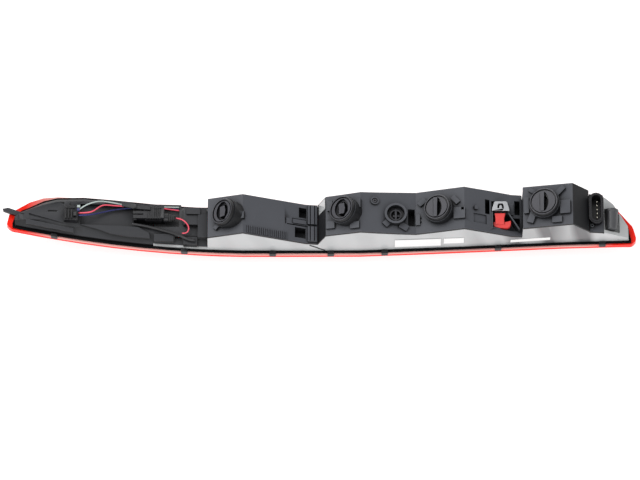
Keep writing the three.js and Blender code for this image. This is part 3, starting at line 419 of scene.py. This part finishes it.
def wall_finish():
    material = finish("silver_grey", (0.44, 0.45, 0.455), 0.22, grain=5, relief=0.015, drift=0.03,
                      hollow_shade=0.25, specular=0.25)
    nodes, links = material.node_tree.nodes, material.node_tree.links
    shader = shader_of(material)
    skin = shader.inputs["Base Color"].links[0].from_socket
    place = nodes.new("ShaderNodeTexCoord").outputs["Object"]
    stretch = nodes.new("ShaderNodeMapping")
    stretch.inputs["Scale"].default_value = STREAK_SCALE
    stretch.inputs["Rotation"].default_value = (0, STREAK_LEAN, 0)
    links.new(place, stretch.inputs["Vector"])
    wave = nodes.new("ShaderNodeTexWave")
    for socket, value in (("Scale", 7), ("Distortion", 5), ("Detail", 3), ("Detail Scale", 0.8)):
        wave.inputs[socket].default_value = value
    links.new(stretch.outputs["Vector"], wave.inputs["Vector"])
    where = nodes.new("ShaderNodeSeparateXYZ")
    links.new(place, where.inputs["Vector"])
    along = where.outputs["X"]
    # painted reflections: faint dark streaks on most of the wall, strong ones towards the plug, hardly any past it
    strength = math_node(
        nodes, links, "MULTIPLY",
        range_node(nodes, links, along, (REFLECTION_START, REFLECTION_FULL), (0.12, 0.9)),
        range_node(nodes, links, along, (REFLECTION_END, REFLECTION_END + 0.01), (1, 0.1)),
    )
    streak = range_node(nodes, links, wave.outputs["Fac"], (0.3, 0.9), (0.3, 1))
    streaks = math_node(nodes, links, "MULTIPLY", streak, strength)
    # painted reflection: one dark patch below the last bulb
    from_reflection_patch = math_node(
        nodes, links, "ABSOLUTE",
        math_node(nodes, links, "SUBTRACT", along, REFLECTION_PATCH_PLACE), 0,
    )
    reflection_patch = range_node(nodes, links, from_reflection_patch, (0, REFLECTION_PATCH_REACH), (REFLECTION_PATCH_DARKNESS, 0))
    # the painted reflections, streaks and patch together, darken the skin towards near-black
    painted_reflection = math_node(nodes, links, "MAXIMUM", streaks, reflection_patch)
    painted = mix_node(nodes, links, painted_reflection, skin, (0.08, 0.08, 0.085))
    links.new(painted, shader.inputs["Base Color"])
    shader.inputs["Coat Weight"].default_value = 0.1
    shader.inputs["Coat Roughness"].default_value = 0.05
    return material


finishes["silver_grey"] = wall_finish()
print("missing finishes:", sorted(set(slot_of.values()) - set(finishes)))

# %% [markdown]
# ## Softened mouldings
# The frame's solids have knife edges, which no moulding has. We could rebuild every plate, but
# their shapes are already right, so each visible one is a cleaned copy: the triangles of flat
# faces are merged, and a bevel rounds what is left. The light then catches the edges. The
# radii are a guess at what such mouldings have: larger on soft foam, smaller on small parts.

# %% Helper: dress and place a piece
def dress(piece, slot, body):
    piece.data.materials.clear()
    piece.data.materials.append(finishes[slot])
    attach(piece, body)
    return piece


def new_piece(name, mesh):
    piece = bpy.data.objects.new(name, mesh)
    bpy.context.scene.collection.objects.link(piece)
    return piece


def round_edges(piece, radius, steps=2, limit=35):
    piece.data.shade_smooth()
    piece.data.set_sharp_from_angle(angle=math.radians(limit))
    bevel = piece.modifiers.new("rounded_edges", "BEVEL")
    bevel.width = radius * MM
    bevel.segments = steps
    bevel.limit_method = "ANGLE"
    bevel.angle_limit = math.radians(limit)
    bevel.harden_normals = True


# %% Helper: a softened copy of a frame solid
FLAT = math.radians(1)
SAME_POINT = 0.001 * MM
# nodes whose surface differs from the usual finish of their slot
DARKER = {"wiring_carrier": "black_dull", "wing_panel": "black_dull", "rear_screw": "dark_zinc"}
DARKER |= {node: "black_satin" for node in slot_of if node.startswith("lens_clip")}


def reworked_copy(node, work):
    """A copy of the node's mesh after its double points are joined and work is done on it."""
    mesh = frame["nodes"][node].data.copy()
    form = bmesh.new()
    form.from_mesh(mesh)
    bmesh.ops.remove_doubles(form, verts=form.verts, dist=SAME_POINT)
    work(form)
    form.to_mesh(mesh)
    form.free()
    return mesh


def merge_flat(form):
    bmesh.ops.dissolve_limit(form, angle_limit=FLAT, verts=form.verts, edges=form.edges)


def soften(node, radius, steps=2, limit=35):
    piece = new_piece(f"{node}_soft", reworked_copy(node, merge_flat))
    piece.data.name = piece.name
    round_edges(piece, radius, steps, limit)
    dress(piece, slot_of[node], body_of[node])
    if node in DARKER:
        piece.data.materials[0] = finishes[DARKER[node]]
    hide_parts(node)
    return piece


# %% Soften the mouldings, radius in millimetres
EDGE_RADIUS = {
    "wiring_carrier": 0.6, "inner_carrier": 0.45, "middle_carrier": 0.45, "outer_carrier": 0.5,
    "end_cap": 0.4, "end_shell": 0.6, "housing_tray": 0.5, "lens_gasket": 0.8,
    "connector_header": 0.4, "wing_panel": 1.0,
    "led_socket": 0.5, "inline_connector": 0.6, "connector_latch": 0.4, "header_pins": 0.15,
    "breather_boot": 0.5, "well_holder": 0.4, "rear_screw": 0.2, "connector_seal": 0.3,
}
softened = {node: soften(node, radius) for node, radius in EDGE_RADIUS.items()}
for node in sorted(slot_of):
    if node.startswith("lens_clip"):
        softened[node] = soften(node, 0.5)
print("softened", len(softened), "mouldings")

# %% [markdown]
# ## The lens
# The lens is one long bowed bowl. Its section bends in a few gentle steps, so a wide bevel on
# every bend above a few degrees turns them into one curve. The points at the top of each slice
# are the rim.

# %% Lens
RIM_DEPTH = 1.0


def mark_rim(mesh):
    """Gives the points near the top of each 1 mm slice a rim value of 1, and the others 0."""
    tops = {}
    for vertex in mesh.vertices:
        key = round(vertex.co.x / MM)
        tops[key] = max(tops.get(key, 0), vertex.co.z)
    rim = mesh.attributes.new("rim", "FLOAT", "POINT")
    for vertex in mesh.vertices:
        top = tops[round(vertex.co.x / MM)]
        rim.data[vertex.index].value = 1.0 if vertex.co.z > top - RIM_DEPTH * MM else 0.0


lens = soften("outer_lens", 1.6, steps=3, limit=9)
mark_rim(lens.data)
print("lens", [round(v * 1000) for v in lens.dimensions], "mm")

# %% [markdown]
# ## Twist-lock bulb holders
# Each holder is a round plastic back with a raised rim, a sunk face and a grip that fingers
# turn. Below the back a neck with three bayonet lugs goes into the plate. The first two have
# a block in a D-shaped well, the other two a long bar. We turn the outline on a lathe, cut
# the well and add the grip with booleans, and round it all with a bevel. Place and tilt come
# from the joint that the holder turns on.

# %% Helper: lathe and prism meshes
def finished_mesh(form, name):
    bmesh.ops.recalc_face_normals(form, faces=form.faces)
    mesh = bpy.data.meshes.new(name)
    form.to_mesh(mesh)
    form.free()
    return mesh


def lathe_mesh(name, profile, sides=48):
    """profile: (radius, height) in millimetres, from the axis back to the axis."""
    form = bmesh.new()
    verts = [form.verts.new((r * MM, 0, z * MM)) for r, z in profile]
    edges = [form.edges.new(pair) for pair in zip(verts, verts[1:])]
    bmesh.ops.spin(
        form, geom=verts + edges, cent=(0, 0, 0), axis=(0, 0, 1), angle=2 * math.pi,
        steps=sides, use_merge=True,
    )
    bmesh.ops.remove_doubles(form, verts=form.verts, dist=SAME_POINT)
    return finished_mesh(form, name)


def closed_mesh(name, base_points, top_points):
    """Two rings with the same number of points, joined by a band of faces and closed."""
    form = bmesh.new()
    base = [form.verts.new(point) for point in base_points]
    top = [form.verts.new(point) for point in top_points]
    form.faces.new(base[::-1])
    form.faces.new(top)
    for i in range(len(base)):
        j = (i + 1) % len(base)
        form.faces.new((base[i], base[j], top[j], top[i]))
    return finished_mesh(form, name)


def prism_mesh(name, outline, low, high):
    base, top = ([(x * MM, y * MM, z * MM) for x, y in outline] for z in (low, high))
    return closed_mesh(name, base, top)


def box_outline(left, near, right, far):
    return [(left, near), (right, near), (right, far), (left, far)]


# %% Helper: join and cut with booleans
def combine(base, others):
    """others: (mesh, operation) pairs, worked into base one after the other."""
    body = new_piece("combine_body", base)
    tools = []
    for mesh, operation in others:
        tool = new_piece("combine_tool", mesh)
        tools.append(tool)
        step = body.modifiers.new("step", "BOOLEAN")
        step.operation = operation
        step.solver = "EXACT"
        step.object = tool
    graph = bpy.context.evaluated_depsgraph_get()
    made = bpy.data.meshes.new_from_object(body.evaluated_get(graph))
    for helper in [body, *tools]:
        bpy.data.objects.remove(helper)
    return made


def arc(radius, start, end, steps, centre=(0, 0)):
    for i in range(steps + 1):
        angle = math.radians(start + (end - start) * i / steps)
        yield centre[0] + radius * math.cos(angle), centre[1] + radius * math.sin(angle)


# %% The holder's round back, in millimetres above the plate
CAP = 5.0
RIM_TOP = CAP + 0.5
FACE_TOP = CAP - 0.1
RING_FLOOR = CAP - 1.8
NECK = 14.5  # radius
NECK_FOOT = -13
SEAL_GROOVE = NECK - 2  # radius
WELL_DEPTH = 4.2
DEEP_WELL = 11
OVERCUT = 2  # how far a cutting tool goes past what it cuts


def cap_profile(radius):
    neck = [
        (0, NECK_FOOT), (NECK, NECK_FOOT), (NECK, -5.8), (SEAL_GROOVE, -5.6),
        (SEAL_GROOVE, -2.2), (NECK, -2), (NECK, 0),
    ]
    back = [
        (radius, 0), (radius, CAP - 1), (radius - 0.9, RIM_TOP), (radius - 2, RIM_TOP),
        (radius - 2.4, RING_FLOOR), (radius - 3.6, RING_FLOOR), (radius - 4, FACE_TOP),
        (0, FACE_TOP),
    ]
    return neck + back


def stepped_well(outline, deep):
    """A shallow well and, inside it, a smaller one that goes deep into the neck."""
    return [
        (prism_mesh("well", outline, CAP - WELL_DEPTH, CAP + 2 * OVERCUT), "DIFFERENCE"),
        (prism_mesh("deep_well", deep, CAP - DEEP_WELL, CAP), "DIFFERENCE"),
    ]


def block_well():
    """A D-shaped well, round towards -X and pointed towards +X, with a block standing in it."""
    outline = [*arc(15, 110, 250, 14, (4.6, 0)), (4.4, -13.8), (10.8, -6), (10.8, 6), (4.4, 13.8)]
    deep = [(x * 0.78, y * 0.78) for x, y in outline]
    sides = [(-4, -7.6), (4.2, -7.6), (5.8, 0), (4.2, 7.6), (-4, 7.6)]
    block = prism_mesh("block", sides, CAP - DEEP_WELL - 1, CAP - 0.4)
    return [*stepped_well(outline, deep), (block, "UNION")]


def bar_well():
    """A narrow half-round well on the +X side of one long bar."""
    outline = [*arc(22, -40, 40, 16, (-14.6, 0)), (-1, 14.2), (-1, -14.2)]
    deep = [(x * 0.8, y * 0.8) for x, y in outline]
    sides = [(-4.4, -14.4), (0.4, -14.4), (1.2, 14.4), (-4.4, 14.4)]
    bar = prism_mesh("bar", sides, 0, CAP + 1)
    slit = prism_mesh("slit", box_outline(-5.4, -13, -4.6, 13), CAP - 1.2, CAP + 2 * OVERCUT)
    return [*stepped_well(outline, deep), (bar, "UNION"), (slit, "DIFFERENCE")]


def bayonet_lugs():
    """Three lugs near the neck's foot, a third of a turn apart."""
    lugs = []
    for turn in (0, 120, 240):
        mesh = prism_mesh("lug", box_outline(11.5, -3, 14.8, 3), -12.5, -9.5)
        mesh.transform(Matrix.Rotation(math.radians(turn), 4, "Z"))
        lugs.append((mesh, "UNION"))
    return lugs


# %% Build the four holders
def stand_on(piece, joint):
    """Puts the piece's own Z on the joint's axis, with its Y kept level."""
    up = Vector(joint["axis"]).normalized()
    level = Vector((0, 1, 0))
    side = level.cross(up).normalized()
    turn = Matrix((side, up.cross(side), up)).transposed().to_4x4()
    piece.matrix_world = Matrix.Translation(Vector(joint["pos_m"])) @ turn


def bulb_holder(number, radius, grip):
    """The back and neck, its grip, and below the neck a socket with a pocket for the bulb."""
    base = lathe_mesh(f"holder_{number}", cap_profile(radius))
    socket = lathe_mesh("socket", [(0, -18), (10.5, -18), (10.5, -12), (0, -12)], 24)
    pocket = lathe_mesh("pocket", [(0, -20), (5.3, -20), (5.3, -9), (0, -9)], 20)
    steps = [*grip, (socket, "UNION"), (pocket, "DIFFERENCE"), *bayonet_lugs()]
    piece = new_piece(f"holder_{number}_turned", combine(base, steps))
    stand_on(piece, joints[f"holder_{number}_twist"])
    round_edges(piece, 0.35)
    dress(piece, "holder_black", f"holder_{number}")
    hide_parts(f"bulb_holder_{number}")
    return piece


def holder_radius(number):
    low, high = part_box(f"bulb_holder_{number}")
    return (high.y - low.y) / 2 / MM


holders = []
for number in (1, 2, 3, 4):
    grip = block_well() if number < 3 else bar_well()
    holders.append(bulb_holder(number, holder_radius(number), grip))
print("holders", [len(piece.data.polygons) for piece in holders], "faces")

# %% [markdown]
# ## The red lock
# The lock is a small red slide in the shape of an anchor: a stem that disappears under the
# metal hood, and two arms for the fingertip, the right one longer. One outline would do for a
# flat plate, but the stem stands higher than the arms, so we join two.

# %% Red lock, outlines in millimetres from its low corner
STEM_STEP = 1.8  # how much higher the stem stands than the arms
STEM = [(1.4, 21.8), (2, 18), (2.6, 14), (2.4, 5), (15.2, 5), (15, 14), (16, 18), (16.8, 21.8)]
ARMS = [
    (8, 0), (19, 0), (23.2, 2.5), (24.4, 6), (24.2, 11), (19, 9.6), (14, 8.6), (4, 8.6),
    (0, 9.4), (0, 3), (3, 0.8),
]


def red_lock():
    low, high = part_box("lock_slide")
    depth = (high.z - low.z) / MM
    arms = prism_mesh("lock_arms", ARMS, 0, depth - STEM_STEP)
    stem = prism_mesh("stem", STEM, 0, depth)
    piece = new_piece("lock_anchor", combine(arms, [(stem, "UNION")]))
    piece.location = low
    round_edges(piece, 1.1, steps=3)
    dress(piece, "red_plastic", "lock")
    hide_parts("lock_slide")
    return piece


lock = red_lock()
print("lock", [round(v * 1000, 1) for v in lock.dimensions], "mm")

# %% [markdown]
# ## The metal hood
# Over the lock's stem sits a bracket pressed from sheet metal: a flared hood, open towards the
# lock, with an arched window and a tongue in it. We cut the inside out of a solid hood, because
# that gives the sheet one even thickness.

# %% Metal hood, outlines in millimetres from its low corner
SHEET = 1.3
FLARE = [(0, 0), (0.2, 3), (1.6, 8), (2.8, 12.6), (4.6, 14.4)]
HOOD_WINDOW = [(7.6, 4), (16.6, 4), (16.2, 9), (14.6, 11.2), (9.6, 11.2), (8, 9)]
TONGUE = [(9.9, 0.2), (14.3, 0.2), (13.9, 7.6), (12.1, 9), (10.3, 7.6)]


def flared(width, inset):
    """The hood's outline from above, wider at the open end and the same on both sides."""
    left = [(x + inset, y - inset) for x, y in FLARE]
    return left + [(width - x, y) for x, y in reversed(left)]


def metal_hood():
    low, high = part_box("hood_bracket")
    width, height = (high.x - low.x) / MM, (high.z - low.z) / MM
    outside = prism_mesh("hood", flared(width, 0), 0, height)
    inside = prism_mesh("inside", flared(width, SHEET), -OVERCUT, height - SHEET)
    window = prism_mesh("window", HOOD_WINDOW, 1, height + OVERCUT)
    tongue = prism_mesh("tongue", TONGUE, height - SHEET, height)
    steps = [(inside, "DIFFERENCE"), (window, "DIFFERENCE"), (tongue, "UNION")]
    piece = new_piece("hood_pressed", combine(outside, steps))
    piece.location = low
    round_edges(piece, 0.35)
    dress(piece, "zinc_steel", "lamp")
    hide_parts("hood_bracket")
    return piece


hood = metal_hood()
print("hood", [round(v * 1000, 1) for v in hood.dimensions], "mm")

# %% [markdown]
# ## Ribs on the inline connector
# The connector's housing is gripped with two fingers, so it has a row of thin ribs across its
# back, and its open end has a thicker rounded rim. Both are small solids set on the frame's
# housing: we take the housing's box and repeat one rib along it.

# %% Connector ribs and rim, in millimetres
RIB_COUNT = 8
RIB_START = 19
RIB_PITCH = 2.4
RIB_WIDTH = 1.1
RIB_INSET = 1.2  # from each side of the housing
RIB_HEIGHT, RIB_SUNK = 4.9, 4.4  # all but half a millimetre is inside the housing
RIM_SIZE = (5, 1.6, 15)
RIM_INSET = 0.6


def small_block(name, low, size, slot, radius=0.3):
    """A rounded block from its low corner, in metres, and its size in millimetres."""
    width, length, height = size
    piece = new_piece(name, prism_mesh(name, box_outline(0, 0, width, length), 0, height))
    piece.location = low
    round_edges(piece, radius)
    return dress(piece, slot, "lamp")


def connector_trim():
    low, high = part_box("inline_connector")
    rib = (RIB_WIDTH, (high.y - low.y) / MM - 2 * RIB_INSET, RIB_HEIGHT)
    near_corner = Vector((low.x, low.y + RIB_INSET * MM, high.z - RIB_SUNK * MM))
    made = []
    for i in range(RIB_COUNT):
        corner = near_corner + Vector(((RIB_START + i * RIB_PITCH) * MM, 0, 0))
        made.append(small_block(f"connector_rib_{i + 1}", corner, rib, "black_satin"))
    near = low.y + RIM_INSET * MM
    far = high.y - (RIM_INSET + RIM_SIZE[1]) * MM
    for name, y in (("near", near), ("far", far)):
        corner = Vector((low.x, y, low.z + 1 * MM))
        made.append(small_block(f"connector_rim_{name}", corner, RIM_SIZE, "black_satin", 0.7))
    return made


trim = connector_trim()
print("connector trim", len(trim), "pieces")

# %% [markdown]
# ## Detail on the small socket
# The socket at the wiring end is a cluster of small black shapes: ribs, a release tab, and a
# pale wire boot beside it. The frame has only its block and its mouth, so we add the cluster.

# %% Socket detail
def socket_detail():
    """Each row: name, low corner measured from the socket's top near left corner, size, slot."""
    low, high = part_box("led_socket")
    corner = Vector((low.x, low.y, high.z))
    parts = (
        ("rib_a", (2, 1, -1.5), (1.4, 15, 3.4), "black_satin"),
        ("rib_b", (6, 1, -1.5), (1.4, 15, 2.6), "black_satin"),
        ("rib_c", (10, 1, -1.5), (1.4, 13, 3), "black_satin"),
        ("tab", (13, 5, -1.8), (4.5, 6, 2.6), "black_satin"),
        ("boot_blue", (18, 14, -6), (3.6, 4, 3.6), "lead_blue"),
        ("boot_white", (18, 19, -5), (4.4, 3.4, 3.4), "lead_white"),
    )
    for name, shift, size, slot in parts:
        small_block(f"socket_{name}", corner + Vector(shift) * MM, size, slot, 0.5)
    return len(parts)


print("socket", socket_detail(), "details")

# %% [markdown]
# ## A seam and a web on the grey housing
# A dark seam runs down the grey wall below the strap, and where two black blocks meet, the grey
# housing shows through at the far side. To lay such things on a slanted surface we ask the
# frame's solid where it is: a ray towards it gives the point.

# %% Helper: points on a solid
def rays_onto(node):
    """A function that gives the point where a ray meets the node."""
    mesh = frame["nodes"][node].data
    tree = BVHTree.FromPolygons(
        [vertex.co for vertex in mesh.vertices], [face.vertices for face in mesh.polygons],
    )
    return lambda start, direction: tree.ray_cast(Vector(start), Vector(direction))[0]


# %% Seam down the wall
SEAM_TOP = (-0.0135, 0.0466)  # metres, X and Z
SEAM_FOOT = (0.0078, 0.0325)
SEAM_RADIUS = 0.8
SEAM_PROUD = 0.2
IN_FRONT = -0.2  # metres, a Y well clear of the lamp


def wall_seam(steps=8):
    on_wall = rays_onto("housing_tray")
    line = bpy.data.curves.new("wall_seam", "CURVE")
    line.dimensions = "3D"
    line.bevel_depth = SEAM_RADIUS * MM
    line.use_fill_caps = True
    spline = line.splines.new("POLY")
    spline.points.add(steps)
    for i, point in enumerate(spline.points):
        share = i / steps
        x, z = (top + (foot - top) * share for top, foot in zip(SEAM_TOP, SEAM_FOOT))
        hit = on_wall((x, IN_FRONT, z), (0, 1, 0))
        point.co = (hit.x, hit.y - SEAM_PROUD * MM, hit.z, 1)
    line.materials.append(finishes["black_satin"])
    piece = new_piece("wall_seam", line)
    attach(piece, "lamp")
    return piece


seam = wall_seam()
print("seam points", len(seam.data.splines[0].points))

# %% Grey web between two black blocks
WEB = box_outline(-0.0008, 0.0072, 0.0078, 0.0232)  # metres
WEB_FOOT, WEB_TOP = 0.3, 1.1  # millimetres above the plate
ABOVE = 0.3  # metres, well clear of the lamp


def grey_web():
    on_plate = rays_onto("middle_carrier")
    hits = [on_plate((x, y, ABOVE), (0, 0, -1)) for x, y in WEB]
    base, top = ([hit + Vector((0, 0, lift * MM)) for hit in hits] for lift in (WEB_FOOT, WEB_TOP))
    piece = new_piece("grey_web", closed_mesh("grey_web", base, top))
    round_edges(piece, 0.3)
    return dress(piece, "silver_grey", "lamp")


web = grey_web()
print("web", [round(v * 1000, 1) for v in web.dimensions], "mm")

# %% [markdown]
# ## Wires
# The frame's leads are tubes with eight flat sides. A real lead is round and smooth, so each
# copy gets a subdivision surface, which rounds the section and the bends together without
# moving the route.

# %% Leads and cable
def pair_triangles(form):
    bmesh.ops.join_triangles(
        form, faces=form.faces, angle_face_threshold=0.7, angle_shape_threshold=0.9,
    )


def smooth_tube(node):
    piece = new_piece(f"{node}_smooth", reworked_copy(node, pair_triangles))
    piece.data.shade_smooth()
    surface = piece.modifiers.new("round_section", "SUBSURF")
    surface.levels = surface.render_levels = 2
    dress(piece, slot_of[node], body_of[node])
    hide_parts(node)
    return piece


wires = [smooth_tube(n) for n in sorted(slot_of) if n.startswith("lead_") or n == "feed_cable"]
print("wires", [piece.name for piece in wires])

# %% [markdown]
# ## Nodes that keep their own shape
# The bulbs, the bright reflectors, the seals, the small board, the light guide and the contact
# strip sit inside, and the labels are flat. Their shapes are right as they are, so they keep
# the frame's mesh, shade smoothly and take their finish.

# %% Finish every other node
def keep(node):
    mesh = frame["nodes"][node].data
    mesh.materials.clear()
    mesh.materials.append(finishes[slot_of[node]])
    mesh.shade_smooth()
    mesh.set_sharp_from_angle(angle=math.radians(30))


kept = [node for node, thing in frame["nodes"].items() if not thing.hide_render]
for node in kept:
    keep(node)
print("kept", len(kept), "nodes:", sorted(kept))
